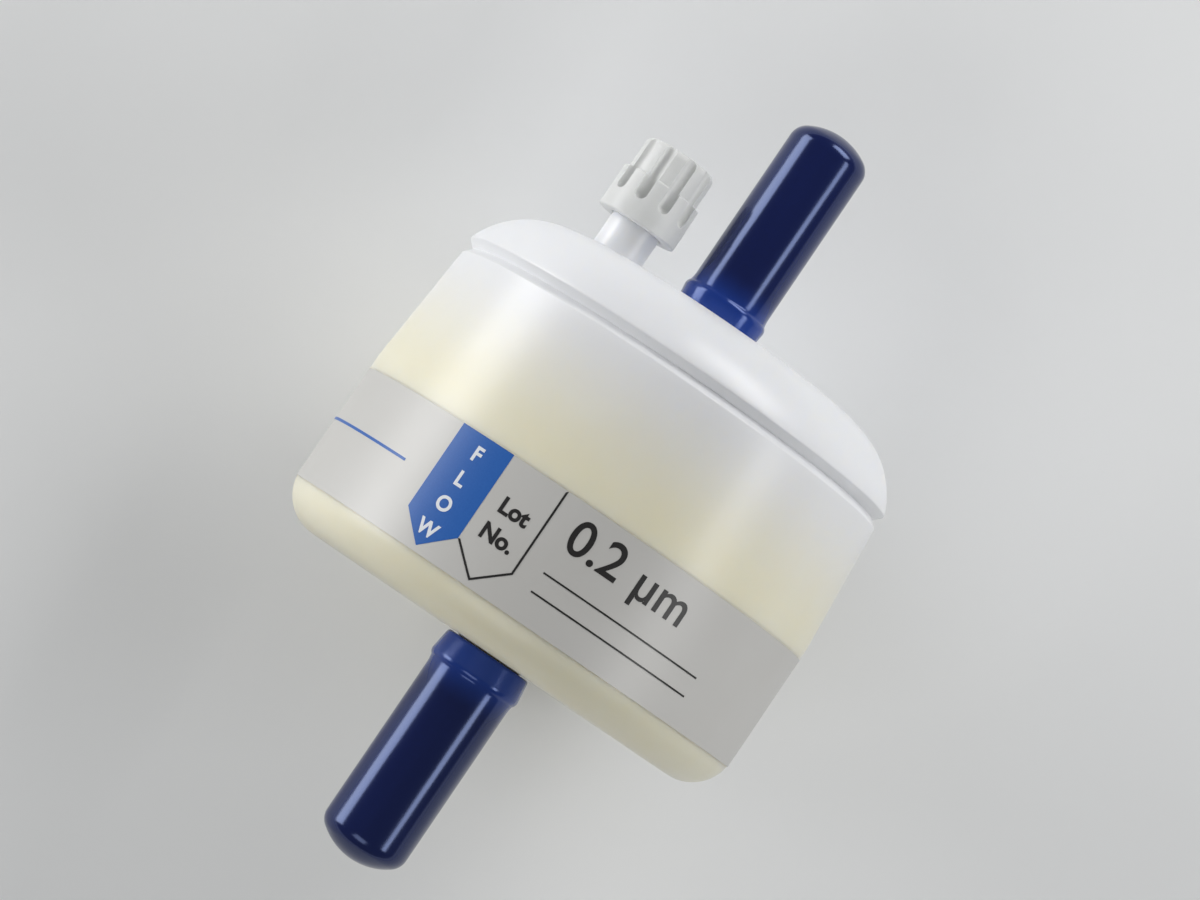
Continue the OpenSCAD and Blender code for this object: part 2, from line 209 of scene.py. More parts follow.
def add_node(material, kind, values):
    """Add a node; each value is a setting, a socket's constant, or the socket that is linked to it."""
    node = material.node_tree.nodes.new(kind)
    for name, value in values.items():
        if isinstance(value, bpy.types.NodeSocket):
            material.node_tree.links.new(value, node.inputs[name])
        elif isinstance(name, str) and hasattr(node, name):
            setattr(node, name, value)
        else:
            node.inputs[name].default_value = value
    return node


def wear(piece, material):
    """Give a piece one material all over."""
    piece.data.materials.clear()
    piece.data.materials.append(material)


# Natural polypropylene, moulded in a fine-spark mould: a milky, waxy white that light soaks into.
# Below the element's top a cream shade is painted into the wall's colour: the pleated element behind the
# wall, seen through it and shading it; the head is whiter.
# At the weld it was melted and pressed, so light soaks in less. Its grain is drawn coarser, to show.
element_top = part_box("upper_end_plate")[1].x
haze_size = 11 * mm
grain_size = 0.45 * mm
# The painted shade is full below the first of these and fades out up to the second.
shade_from = element_top - 3 * mm
shade_to = element_top + 17 * mm
weld_reach = 4 * mm

natural_pp = new_material("moulded natural polypropylene")
place = add_node(natural_pp, "ShaderNodeTexCoord", {}).outputs["Object"]
along = add_node(natural_pp, "ShaderNodeSeparateXYZ", {"Vector": place}).outputs["X"]
# Painted shade: 1 below the element's top, fading to 0 towards the head; it mixes the cream colour into the
# wall.
painted_element_shade = add_node(natural_pp, "ShaderNodeMapRange", {
    "interpolation_type": "SMOOTHSTEP", "Value": along,
    "From Min": shade_to, "From Max": shade_from,
}).outputs["Result"]
haze = add_node(natural_pp, "ShaderNodeTexNoise", {
    "Vector": place, "Scale": 1 / haze_size, "Detail": 3.0, "Roughness": 0.5,
}).outputs["Fac"]
clear_wall = add_node(natural_pp, "ShaderNodeMix", {
    "data_type": "RGBA", "Factor": haze, 6: linear("f0f1f3"), 7: linear("eaebee"),
}).outputs[2]
painted_shade_colour = add_node(natural_pp, "ShaderNodeMix", {
    "data_type": "RGBA", "Factor": haze, 6: linear("f3eeda"), 7: linear("eee7cb"),
}).outputs[2]
wall_colour = add_node(natural_pp, "ShaderNodeMix", {
    "data_type": "RGBA", "Factor": painted_element_shade, 6: clear_wall, 7: painted_shade_colour,
}).outputs[2]
grain = add_node(natural_pp, "ShaderNodeTexNoise", {
    "Vector": place, "Scale": 1 / grain_size, "Detail": 2.0,
}).outputs["Fac"]
sheen = add_node(natural_pp, "ShaderNodeMapRange", {
    "Value": haze, "To Min": 0.28, "To Max": 0.4,
}).outputs["Result"]
skin = add_node(natural_pp, "ShaderNodeBump", {
    "Height": grain, "Strength": 0.12, "Distance": 0.02 * mm,
}).outputs["Normal"]
past_weld = add_node(natural_pp, "ShaderNodeMath", {
    "operation": "SUBTRACT", 0: along, 1: weld_x,
}).outputs["Value"]
from_weld = add_node(natural_pp, "ShaderNodeMath", {
    "operation": "ABSOLUTE", 0: past_weld,
}).outputs["Value"]
soaking = add_node(natural_pp, "ShaderNodeMapRange", {
    "Value": from_weld, "From Max": weld_reach,
}).outputs["Result"]
surface = add_node(natural_pp, "ShaderNodeBsdfPrincipled", {
    "Base Color": wall_colour, "Roughness": sheen, "Normal": skin, "IOR": 1.49, "Specular IOR Level": 0.7,
    "Subsurface Weight": soaking, "Subsurface Radius": (1.0, 0.95, 0.85), "Subsurface Scale": 2.5 * mm,
})
add_node(natural_pp, "ShaderNodeOutputMaterial", {"Surface": surface.outputs["BSDF"]})
wear(bowl, natural_pp)


# The filter element's plastic: two end plates, the slotted core and the outer cage.
# Filled white polypropylene, moulded apart and melted onto the ends of the pleats.
speckle_size = 1.8 * mm

filled_pp = new_material("moulded filled polypropylene")
place = add_node(filled_pp, "ShaderNodeTexCoord", {}).outputs["Object"]
speckle = add_node(filled_pp, "ShaderNodeTexNoise", {
    "Vector": place, "Scale": 1 / speckle_size, "Detail": 4.0,
}).outputs["Fac"]
filled_colour = add_node(filled_pp, "ShaderNodeMix", {
    "data_type": "RGBA", "Factor": speckle, 6: linear("f2f0e8"), 7: linear("e4e0d2"),
}).outputs[2]
dull = add_node(filled_pp, "ShaderNodeMapRange", {
    "Value": speckle, "To Min": 0.48, "To Max": 0.62,
}).outputs["Result"]
surface = add_node(filled_pp, "ShaderNodeBsdfPrincipled", {
    "Base Color": filled_colour, "Roughness": dull, "IOR": 1.49,
})
add_node(filled_pp, "ShaderNodeOutputMaterial", {"Surface": surface.outputs["BSDF"]})
for plastic_node in ("lower_end_plate", "upper_end_plate", "core", "cage"):
    wear(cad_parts[plastic_node], filled_pp)


# The pleated pack: a membrane between two layers of support fleece, folded together.
# The fleece is spun-bonded polyester, a mat of fine threads pressed between hot rollers.
thread_spacing = 0.35 * mm

spun_fleece = new_material("spun-bonded polyester fleece")
place = add_node(spun_fleece, "ShaderNodeTexCoord", {}).outputs["Object"]
threads = add_node(spun_fleece, "ShaderNodeTexVoronoi", {
    "Vector": place, "feature": "DISTANCE_TO_EDGE", "Scale": 1 / thread_spacing,
}).outputs["Distance"]
fleece_colour = add_node(spun_fleece, "ShaderNodeMix", {
    "data_type": "RGBA", "Factor": threads, 6: linear("f5f4ef"), 7: linear("dedcd2"),
}).outputs[2]
felted = add_node(spun_fleece, "ShaderNodeBump", {
    "Height": threads, "Strength": 0.4, "Distance": 0.04 * mm,
}).outputs["Normal"]
surface = add_node(spun_fleece, "ShaderNodeBsdfPrincipled", {
    "Base Color": fleece_colour, "Roughness": 0.85, "Normal": felted,
})
add_node(spun_fleece, "ShaderNodeOutputMaterial", {"Surface": surface.outputs["BSDF"]})
for fleece_node in ("upstream_fleece", "downstream_fleece"):
    wear(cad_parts[fleece_node], spun_fleece)

# The membrane is cast nylon: an even, chalky cream skin with pores too fine to see.
# They are drawn coarser, so that the skin isn't one flat tone.
pore_size = 0.12 * mm

cast_nylon = new_material("cast nylon membrane")
place = add_node(cast_nylon, "ShaderNodeTexCoord", {}).outputs["Object"]
pores = add_node(cast_nylon, "ShaderNodeTexNoise", {
    "Vector": place, "Scale": 1 / pore_size, "Detail": 2.0,
}).outputs["Fac"]
nylon_colour = add_node(cast_nylon, "ShaderNodeMix", {
    "data_type": "RGBA", "Factor": pores, 6: linear("f6f1de"), 7: linear("ece4cb"),
}).outputs[2]
surface = add_node(cast_nylon, "ShaderNodeBsdfPrincipled", {
    "Base Color": nylon_colour, "Roughness": 0.7, "IOR": 1.53,
})
add_node(cast_nylon, "ShaderNodeOutputMaterial", {"Surface": surface.outputs["BSDF"]})
wear(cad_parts["membrane"], cast_nylon)


# The head: the domed upper half, with the inlet's hose barb and the vent's threaded stem.
# The same natural polypropylene in one moulding; its spigot enters the bowl and is welded there.
# The weld leaves an open V-shaped groove under the head's lip, all the way round.
lip_height = 1.4 * mm
lip_proud = 0.15 * mm
dome_rise = 8.0 * mm
crown_radius = 23.0 * mm
spigot_length = 4.0 * mm
spigot_wall = 1.8 * mm
weld_gap = 0.04 * mm
inlet_barb_radius = 4.9 * mm

lip_x = weld_x + (groove_depth + lip_proud) / groove_lean
dome_foot_x = weld_x + lip_height
crown_x = dome_foot_x + dome_rise
lip_radius = rim_radius + lip_proud
dome_reach = lip_radius - crown_radius
dome_radius = (dome_reach ** 2 + dome_rise ** 2) / (2 * dome_rise)
dome_centre = (crown_x - dome_radius, crown_radius)
dome_sweep = asin(dome_reach / dome_radius) * 180 / pi
spigot_radius = rim_radius - wall - weld_gap
spigot_bore = spigot_radius - spigot_wall
inner_dome = dome_radius - wall
inner_sweep = asin((spigot_bore - crown_radius) / inner_dome) * 180 / pi
head_section = (
    barb_outline(crown_x, 1, inlet_barb_radius)[::-1]
    + arc(dome_centre, dome_radius, 0, dome_sweep, 18)
    + [(lip_x, lip_radius), (weld_x, rim_radius - groove_depth)]
    + [(weld_x, spigot_radius), (weld_x - spigot_length, spigot_radius)]
    + [(weld_x - spigot_length, spigot_bore)]
    + arc(dome_centre, inner_dome, inner_sweep, 0, 14)
    + [(crown_x - wall, port_bore)]
)
head = turned("head_moulding", softened(head_section, moulded_edge))

# The vent's stem: a plain neck on the crown, then the thread's root up to the seat in its end.
stem_radius = 3.8 * mm
stem_foot = 1.6 * mm
stem_sunk = 0.5 * mm
thread_depth = 0.35 * mm
thread_runout = 1.0 * mm
stem_length = 14.0 * mm
seat_radius = 2.4 * mm
seat_depth = 6.0 * mm
bleed_radius = 1.2 * mm

vent_low, vent_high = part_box("vent_cap")
vent_y = (vent_low.y + vent_high.y) / 2
stem_end = crown_x + stem_length
thread_x = vent_low.x + thread_runout
stem_section = (
    [(crown_x - stem_sunk, bleed_radius), (crown_x - stem_sunk, stem_radius + stem_foot)]
    + arc((crown_x + stem_foot, stem_radius + stem_foot), stem_foot, 195, 270, 6)
    + [(thread_x, stem_radius), (thread_x + thread_depth, stem_radius - thread_depth)]
    + [(stem_end, stem_radius - thread_depth), (stem_end, seat_radius)]
    + [(stem_end - seat_depth, seat_radius), (stem_end - seat_depth, bleed_radius)]
)
stem = turned("stem", softened(stem_section, moulded_edge), across=vent_y, sides=96)
bleed_section = [
    (crown_x - 2 * wall, 0), (crown_x - 2 * wall, bleed_radius),
    (stem_end - seat_depth, bleed_radius), (stem_end - seat_depth, 0),
]
bleed = turned("bleed", bleed_section, across=vent_y, sides=48)
apply_modifier(head, "BOOLEAN", operation="UNION", object=stem)
apply_modifier(head, "BOOLEAN", operation="DIFFERENCE", object=bleed)
bpy.data.objects.remove(stem)
bpy.data.objects.remove(bleed)
smooth_faces(head)
wear(head, natural_pp)
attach(head, "housing")
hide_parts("head")

# The stem's thread is one rib that climbs 2 mm a turn, the vent cap's own lead.
thread_lead = 2.0 * mm
thread_turns = 3
thread_crest = 0.5 * mm
thread_base = 1.1 * mm
thread_root = 0.1 * mm

bpy.ops.object.select_all(action="DESELECT")
bpy.ops.mesh.primitive_plane_add(size=thread_base, rotation=(pi / 2, 0, 0))
thread = bpy.context.object
thread.name = thread.data.name = "vent_thread"
bpy.ops.object.transform_apply(location=True, rotation=True, scale=True)
for corner in thread.data.vertices:
    crest = corner.co.z > 0
    corner.co.z = stem_radius if crest else stem_radius - thread_depth - thread_root
    corner.co.x *= thread_crest / thread_base if crest else 1
bpy.ops.object.mode_set(mode="EDIT")
bpy.ops.mesh.select_all(action="SELECT")
bpy.ops.mesh.delete(type="ONLY_FACE")
bpy.ops.object.mode_set(mode="OBJECT")
apply_modifier(
    thread, "SCREW", axis="X", angle=2 * pi, screw_offset=thread_lead, iterations=thread_turns,
    steps=64, render_steps=64,
)
bpy.ops.object.mode_set(mode="EDIT")
bpy.ops.mesh.select_all(action="SELECT")
bpy.ops.mesh.fill_holes(sides=0)
bpy.ops.mesh.normals_make_consistent(inside=False)
bpy.ops.object.mode_set(mode="OBJECT")
thread.location = (thread_x + thread_base, vent_y, axis_z)
bpy.ops.object.transform_apply(location=True, rotation=True, scale=True)
smooth_faces(thread)
wear(thread, natural_pp)
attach(thread, "housing")


# The vent's sealing ring: a small O-ring in the groove of the vent cap's plug.
# Moulded clear silicone, soft and slightly milky, with a smooth skin.
cloud_size = 0.9 * mm

silicone = new_material("moulded clear silicone")
place = add_node(silicone, "ShaderNodeTexCoord", {}).outputs["Object"]
cloud = add_node(silicone, "ShaderNodeTexNoise", {"Vector": place, "Scale": 1 / cloud_size}).outputs["Fac"]
silicone_colour = add_node(silicone, "ShaderNodeMix", {
    "data_type": "RGBA", "Factor": cloud, 6: linear("e2e2dd"), 7: linear("d2d3ce"),
}).outputs[2]
surface = add_node(silicone, "ShaderNodeBsdfPrincipled", {
    "Base Color": silicone_colour, "Roughness": 0.4, "IOR": 1.41,
    "Subsurface Weight": 0.5, "Subsurface Radius": (1.0, 1.0, 0.95), "Subsurface Scale": 0.8 * mm,
})
add_node(silicone, "ShaderNodeOutputMaterial", {"Surface": surface.outputs["BSDF"]})
wear(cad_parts["vent_seal"], silicone)


# The vent cap: a small screw cap that opens the air bleed on the head.
# White polypropylene, moulded with a wider skirt, a round top edge and ten grip flutes.
# A plug under its top carries the sealing ring down into the stem's seat.
knob_radius = 5.55 * mm
knob_round = 1.1 * mm
knob_top = 1.7 * mm
skirt_radius = 6.15 * mm
skirt_height = 6.5 * mm
skirt_bore = 4.0 * mm
plug_radius = 2.2 * mm
plug_nose = 1.2 * mm
groove_gap = 0.04 * mm
flute_count = 10
flute_round = 0.95 * mm
flute_depth = 0.65 * mm
flute_from = 2.9 * mm

seal_low, seal_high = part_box("vent_seal")
plug_groove = (seal_high.y - seal_low.y) / 2 - (seal_high.x - seal_low.x) - groove_gap
groove_start, groove_end = seal_high.x + groove_gap, seal_low.x - groove_gap
skirt_top = vent_low.x + skirt_height
under_top = vent_high.x - knob_top
vent_cap_section = (
    [(vent_high.x, 0)]
    + arc((vent_high.x - knob_round, knob_radius - knob_round), knob_round, 0, 90, 7)
    + [(skirt_top, knob_radius), (skirt_top, skirt_radius), (vent_low.x, skirt_radius)]
    + [(vent_low.x, skirt_bore), (under_top, skirt_bore), (under_top, plug_radius)]
    + [(groove_start, plug_radius), (groove_start, plug_groove)]
    + [(groove_end, plug_groove), (groove_end, plug_radius)]
    + [(groove_end - plug_nose, plug_radius), (groove_end - plug_nose, 0)]
)
vent_cap = turned("vent_cap_moulding", softened(vent_cap_section, moulded_edge), across=vent_y, sides=120)

flute_y = vent_y + knob_radius - flute_depth + flute_round
flute_x = vent_low.x + flute_from
flute_section = (
    [(flute_x, 0)]
    + arc((flute_x + flute_round, 0), flute_round, 165, 90, 5)
    + [(vent_high.x + flute_round, flute_round), (vent_high.x + flute_round, 0)]
)
flute = turned("flute", flute_section, across=flute_y, sides=32)
for count in range(flute_count):
    bpy.ops.object.select_all(action="DESELECT")
    cutter = flute.copy()
    cutter.data = flute.data.copy()
    bpy.context.collection.objects.link(cutter)
    cutter.select_set(True)
    bpy.context.view_layer.objects.active = cutter
    bpy.ops.transform.rotate(
        value=2 * pi * count / flute_count, orient_axis="X", center_override=(0, vent_y, axis_z)
    )
    apply_modifier(vent_cap, "BOOLEAN", operation="DIFFERENCE", object=cutter)
    bpy.data.objects.remove(cutter)
bpy.data.objects.remove(flute)
smooth_faces(vent_cap)
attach(vent_cap, "vent_cap")
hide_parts("vent_cap")

# White polypropylene with a satin mould finish; fingers leave the grips a little duller.
finger_size = 3 * mm

white_pp = new_material("satin white polypropylene")
place = add_node(white_pp, "ShaderNodeTexCoord", {}).outputs["Object"]
handled = add_node(white_pp, "ShaderNodeTexNoise", {
    "Vector": place, "Scale": 1 / finger_size, "Detail": 3.0,
}).outputs["Fac"]
white_colour = add_node(white_pp, "ShaderNodeMix", {
    "data_type": "RGBA", "Factor": handled, 6: linear("e3e4e3"), 7: linear("d7d8d6"),
}).outputs[2]
satin = add_node(white_pp, "ShaderNodeMapRange", {
    "Value": handled, "To Min": 0.32, "To Max": 0.46,
}).outputs["Result"]
grain = add_node(white_pp, "ShaderNodeTexNoise", {
    "Vector": place, "Scale": 1 / grain_size, "Detail": 2.0,
}).outputs["Fac"]
skin = add_node(white_pp, "ShaderNodeBump", {
    "Height": grain, "Strength": 0.1, "Distance": 0.02 * mm,
}).outputs["Normal"]
surface = add_node(white_pp, "ShaderNodeBsdfPrincipled", {
    "Base Color": white_colour, "Roughness": satin, "Normal": skin, "IOR": 1.49,
    "Subsurface Weight": 0.25, "Subsurface Radius": (1.0, 1.0, 0.9), "Subsurface Scale": 1.5 * mm,
})
add_node(white_pp, "ShaderNodeOutputMaterial", {"Surface": surface.outputs["BSDF"]})
wear(vent_cap, white_pp)


# The port caps: soft covers pushed over both barbs to keep them clean.
# Navy vinyl, made by dipping a warm round-ended rod, so the wall is even and the end is a dome.
# The mouth is a rolled collar: it swells to a bead where the tube sweeps out, then draws in again.
cap_wall = 1.0 * mm
shoulder_round = 2.6 * mm
end_round = 9.0 * mm
collar_out = 0.5 * mm
collar_height = 4.2 * mm
bead_round = 1.2 * mm
bead_drop = 0.35 * mm
mouth_lean = 6.0
collar_round = 0.5 * mm
mouth_round = 0.35 * mm
sweep_round = 6.0 * mm


def round_end(side_radius, end_x, facing, shoulder, crown):
    """Half section of a dipped cap's closed end, from its middle to its side."""
    crown_centre_x = end_x - facing * crown
    shoulder_centre = side_radius - shoulder
    meet = asin(shoulder_centre / (crown - shoulder))
    shoulder_x = crown_centre_x + facing * (crown - shoulder) * cos(meet)
    meet_angle = meet * 180 / pi
    crown_arc = arc((crown_centre_x, 0), crown, 0, meet_angle, 8, facing)
    shoulder_arc = arc((shoulder_x, shoulder_centre), shoulder, meet_angle, 90, 8, facing)
    return crown_arc + shoulder_arc[1:]


def dipped_cap(name, node, facing):
    """A dipped cap in the place of its node, open towards the housing."""
    low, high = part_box(node)
    mouth_x, end_x = (low.x, high.x) if facing > 0 else (high.x, low.x)
    collar_radius = (high.y - low.y) / 2
    cap_radius = collar_radius - collar_out
    sweep_start = collar_out - bead_drop
    sweep = asin((sweep_round - sweep_start) / sweep_round) * 180 / pi
    sweep_length = sweep_round * cos(radians(sweep))
    sweep_centre = (mouth_x + facing * (collar_height + sweep_length), cap_radius + sweep_round)
    outside = round_end(cap_radius, end_x, facing, shoulder_round, end_round)
    outside += arc(sweep_centre, sweep_round, 270, 180 + sweep, 6, facing)
    bead_start = asin(1 - bead_drop / bead_round) * 180 / pi
    bead_reach = collar_height - bead_round * cos(radians(bead_start))
    bead_centre = (mouth_x + facing * bead_reach, collar_radius - bead_round)
    outside += arc(bead_centre, bead_round, bead_start, 90 + mouth_lean, 8, facing)
    inside = round_end(
        cap_radius - cap_wall, end_x - facing * cap_wall, facing,
        shoulder_round - cap_wall, end_round - cap_wall,
    )
    mouth_radius = collar_radius - bead_reach * tan(radians(mouth_lean))
    rim = (mouth_x + facing * collar_round, mouth_radius - collar_round)
    mouth = arc(rim, collar_round, 90, 180, 5, facing)
    lip = (mouth_x + facing * mouth_round, cap_radius - cap_wall + mouth_round)
    mouth += arc(lip, mouth_round, 180, 270, 4, facing)
    cap = turned(name, outside + mouth + inside[::-1], sides=128)
    smooth_faces(cap)
    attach(cap, node)
    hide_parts(node)
    return cap


inlet_cap = dipped_cap("inlet_cap_dipped", "inlet_cap", 1)
outlet_cap = dipped_cap("outlet_cap_dipped", "outlet_cap", -1)

# Dipped vinyl cures with a wet gloss and slow ripples where the liquid ran down the rod.
# Deep navy along the tube; at the collars next to the housing a clearer blue is painted in, a painted glow
# where light shines through the vinyl.
ripple_size = 4 * mm
run_stretch = 5
collar_glow_fade = 4 * mm

dipped_vinyl = new_material("dipped navy vinyl")
place = add_node(dipped_vinyl, "ShaderNodeTexCoord", {}).outputs["Object"]
along = add_node(dipped_vinyl, "ShaderNodeSeparateXYZ", {"Vector": place}).outputs["X"]
inlet_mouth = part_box("inlet_cap")[0].x
outlet_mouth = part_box("outlet_cap")[1].x
caps_middle = (inlet_mouth + outlet_mouth) / 2
mouth_distance = (inlet_mouth - outlet_mouth) / 2
from_middle = add_node(dipped_vinyl, "ShaderNodeMath", {
    "operation": "SUBTRACT", 0: along, 1: caps_middle,
}).outputs["Value"]
outwards = add_node(dipped_vinyl, "ShaderNodeMath", {
    "operation": "ABSOLUTE", 0: from_middle,
}).outputs["Value"]
# Painted light: the collars get a clearer blue, standing in for light shining through the vinyl there.
collar_glow_paint = add_node(dipped_vinyl, "ShaderNodeMapRange", {
    "interpolation_type": "SMOOTHSTEP", "Value": outwards,
    "From Min": mouth_distance + collar_height + collar_glow_fade,
    "From Max": mouth_distance + collar_height / 2,
}).outputs["Result"]
stretched = add_node(dipped_vinyl, "ShaderNodeMapping", {
    "Vector": place, "Scale": (1 / run_stretch, 1, 1),
}).outputs["Vector"]
ripple = add_node(dipped_vinyl, "ShaderNodeTexNoise", {
    "Vector": stretched, "Scale": 1 / ripple_size, "Detail": 1.5,
}).outputs["Fac"]
tube_colour = add_node(dipped_vinyl, "ShaderNodeMix", {
    "data_type": "RGBA", "Factor": ripple, 6: linear("0c1440"), 7: linear("111b50"),
}).outputs[2]
vinyl_colour = add_node(dipped_vinyl, "ShaderNodeMix", {
    "data_type": "RGBA", "Factor": collar_glow_paint, 6: tube_colour, 7: linear("1c3a8c"),
}).outputs[2]
gloss = add_node(dipped_vinyl, "ShaderNodeMapRange", {
    "Value": ripple, "To Min": 0.12, "To Max": 0.2,
}).outputs["Result"]
wet_skin = add_node(dipped_vinyl, "ShaderNodeBump", {
    "Height": ripple, "Strength": 0.5, "Distance": 0.12 * mm,
}).outputs["Normal"]
surface = add_node(dipped_vinyl, "ShaderNodeBsdfPrincipled", {
    "Base Color": vinyl_colour, "Roughness": gloss, "Normal": wet_skin, "IOR": 1.53,
    "Specular IOR Level": 0.8, "Specular Tint": linear("b4c8ff"),
})
add_node(dipped_vinyl, "ShaderNodeOutputMaterial", {"Surface": surface.outputs["BSDF"]})
wear(inlet_cap, dipped_vinyl)
wear(outlet_cap, dipped_vinyl)


# The label: one strip of white film glued round the bowl's band, its two ends a little apart.
# Die-cut from a roll; the gap is turned down, so that the capsule lies on the label's two ends.
print_room = 0.07 * mm
film_thickness = 0.06 * mm
label_gap = 8.0

label_low, label_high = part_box("label")
label_radius = (label_high.y - label_low.y) / 2 - print_room
label_section = [
    (label_low.x, label_radius - film_thickness), (label_high.x, label_radius - film_thickness),
    (label_high.x, label_radius), (label_low.x, label_radius),
]
label = turned(
    "label_film", label_section, first=180 + label_gap / 2, sweep=360 - label_gap, sides=176
)
smooth_faces(label)
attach(label, "housing")
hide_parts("label")

# Satin label film: an even, slightly warm and greyish white with a faint paper-like tooth.
tooth_size = 0.25 * mm
age_size = 16 * mm

label_film = new_material("satin white label film")
place = add_node(label_film, "ShaderNodeTexCoord", {}).outputs["Object"]
tooth = add_node(label_film, "ShaderNodeTexNoise", {
    "Vector": place, "Scale": 1 / tooth_size, "Detail": 2.0,
}).outputs["Fac"]
age = add_node(label_film, "ShaderNodeTexNoise", {
    "Vector": place, "Scale": 1 / age_size, "Detail": 2.0,
}).outputs["Fac"]
film_colour = add_node(label_film, "ShaderNodeMix", {
    "data_type": "RGBA", "Factor": age, 6: linear("cccbc8"), 7: linear("c3c1bc"),
}).outputs[2]
film_gloss = add_node(label_film, "ShaderNodeMapRange", {
    "Value": tooth, "To Min": 0.38, "To Max": 0.48,
}).outputs["Result"]
film_skin = add_node(label_film, "ShaderNodeBump", {
    "Height": tooth, "Strength": 0.08, "Distance": 0.02 * mm,
}).outputs["Normal"]
surface = add_node(label_film, "ShaderNodeBsdfPrincipled", {
    "Base Color": film_colour, "Roughness": film_gloss, "Normal": film_skin, "IOR": 1.5,
    "Specular IOR Level": 1.0,
})
add_node(label_film, "ShaderNodeOutputMaterial", {"Surface": surface.outputs["BSDF"]})
wear(label, label_film)


# The label's print: a flow arrow towards the outlet, a lot field, a pore rating and three lines.
# Screen-printed ink, drawn flat on the label's own plane and then wrapped round the band.
ink_thickness = 0.03 * mm
ink_lift = 0.03 * mm
column_width = 0.5 * mm


def wrap_print(piece, layer):
    """Cut a flat print into narrow columns, wrap it round the label and give the ink its thickness."""
    reach = max(abs(vertex.co.y) for vertex in piece.data.vertices)
    bpy.ops.object.select_all(action="DESELECT")
    piece.select_set(True)
    bpy.context.view_layer.objects.active = piece
    bpy.ops.object.mode_set(mode="EDIT")
    columns = int(reach / column_width) + 1
    for column in range(-columns, columns + 1):
        bpy.ops.mesh.select_all(action="SELECT")
        bpy.ops.mesh.bisect(plane_co=(0, column * column_width, 0), plane_no=(0, 1, 0))
    bpy.ops.object.mode_set(mode="OBJECT")
    radius = label_radius + layer * ink_lift
    for vertex in piece.data.vertices:
        round_axis = vertex.co.y / radius
        vertex.co.y = radius * sin(round_axis)
        vertex.co.z = axis_z + radius * cos(round_axis)
    apply_modifier(piece, "SOLIDIFY", thickness=ink_thickness, offset=-1.0)
    smooth_faces(piece)
    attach(piece, "housing")


def printing_ink(name, colour, worn_colour):
    """Screen ink: a satin film that covers almost evenly, thinner in small specks."""
    ink = new_material(name)
    place = add_node(ink, "ShaderNodeTexCoord", {}).outputs["Object"]
    specks = add_node(ink, "ShaderNodeTexNoise", {
        "Vector": place, "Scale": 1 / tooth_size, "Detail": 3.0,
    }).outputs["Fac"]
    cover = add_node(ink, "ShaderNodeMix", {
        "data_type": "RGBA", "Factor": specks, 6: linear(colour), 7: linear(worn_colour),
    }).outputs[2]
    satin = add_node(ink, "ShaderNodeMapRange", {"Value": specks, "To Min": 0.3, "To Max": 0.45}).outputs[0]
    surface = add_node(ink, "ShaderNodeBsdfPrincipled", {"Base Color": cover, "Roughness": satin})
    add_node(ink, "ShaderNodeOutputMaterial", {"Surface": surface.outputs["BSDF"]})
    return ink


# The flow arrow hangs from the label's upper edge and points to the outlet.
arrow_width = 8.85 * mm
arrow_across = 16.75 * mm
arrow_shaft = 13.1 * mm
arrow_point = 3.8 * mm

shoulder_x = label_high.x - arrow_shaft


def select_where(piece, chosen):
    """Select the vertices of a piece by their place, with the edges and faces between them."""
    vertices = piece.data.vertices
    for vertex in vertices:
        vertex.select = chosen(vertex.co)
    for part in list(piece.data.edges) + list(piece.data.polygons):
        part.select = all(vertices[corner].select for corner in part.vertices)


def arrow_shape(name, across):
    """A flat arrow: a plane as large as the shaft, with the middle of its lower edge drawn to a point."""
    bpy.ops.object.select_all(action="DESELECT")
    bpy.ops.mesh.primitive_plane_add(size=1, location=(label_high.x - arrow_shaft / 2, across, 0))
    arrow = bpy.context.object
    arrow.name = arrow.data.name = name
    arrow.scale = (arrow_shaft, arrow_width, 1)
    bpy.ops.object.transform_apply(location=True, rotation=True, scale=True)
    select_where(arrow, lambda place: place.x < shoulder_x + arrow_point)
    bpy.ops.object.mode_set(mode="EDIT")
    bpy.ops.mesh.subdivide()
    bpy.ops.object.mode_set(mode="OBJECT")
    select_where(arrow, lambda place: place.x < shoulder_x + arrow_point and abs(place.y - across) < mm)
    bpy.ops.object.mode_set(mode="EDIT")
    bpy.ops.transform.translate(value=(-arrow_point, 0, 0))
    bpy.ops.object.mode_set(mode="OBJECT")
    return arrow


blue_ink = printing_ink("blue printing ink", "1c5aac", "2566b8")
flow_arrow = arrow_shape("flow_arrow", arrow_across)
wrap_print(flow_arrow, 1)
wear(flow_arrow, blue_ink)


def print_text(name, words, height, drop, across, layer, weight, line_gap=1.0, align="CENTER"):
    """Set words in Blender's own face, upright on the capsule, and print them on the label."""
    bpy.ops.object.select_all(action="DESELECT")
    bpy.ops.object.text_add(location=(label_high.x - drop, across, 0), rotation=(0, 0, -pi / 2))
    text = bpy.context.object
    text.name = name
    text.data.body = words
    text.data.size = height
    text.data.align_x = align
    text.data.align_y = "CENTER"
    text.data.offset = weight
    text.data.space_line = line_gap
    bpy.ops.object.convert(target="MESH")
    bpy.ops.object.transform_apply(location=True, rotation=True, scale=True)
    piece = bpy.context.object
    piece.name = piece.data.name = name
    wrap_print(piece, layer)
    return piece


white_ink = printing_ink("white printing ink", "f2f4f6", "e3e8ee")
letters = print_text(
    "flow_letters", "F\nL\nO\nW", height=2.9 * mm, drop=8.5 * mm, across=arrow_across,
    layer=2, weight=0.09 * mm, line_gap=1.34,
)
wear(letters, white_ink)

# Beside the arrow its outline comes again as a field for a lot number, open at the top and the left.
outline_weight = 0.3 * mm

